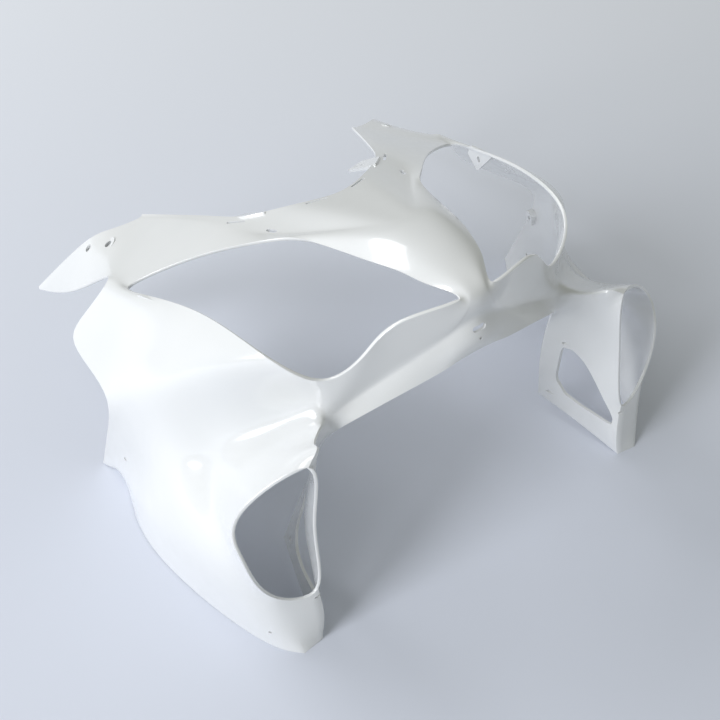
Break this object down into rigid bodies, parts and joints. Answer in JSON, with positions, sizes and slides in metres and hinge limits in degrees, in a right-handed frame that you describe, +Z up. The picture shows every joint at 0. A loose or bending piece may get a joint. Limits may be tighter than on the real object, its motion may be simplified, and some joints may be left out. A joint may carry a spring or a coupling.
{
  "type": "motorcycle fairing",
  "caption": "One-piece upper front fairing: slim nose bar, open headlight bays, windscreen seat, mirror wings and side panels with open air intakes.",
  "frame": {"origin": "centre of the bounding box at floor level", "axes": "+Z up, -Y towards the front wheel, +X towards the rider's left"},
  "size_m": [0.585, 0.535, 0.345],
  "materials": {
    "white_plastic": "gloss"
  },
  "bodies": {
    "root": {"fairing": "white_plastic"}
  },
  "joints": []
}
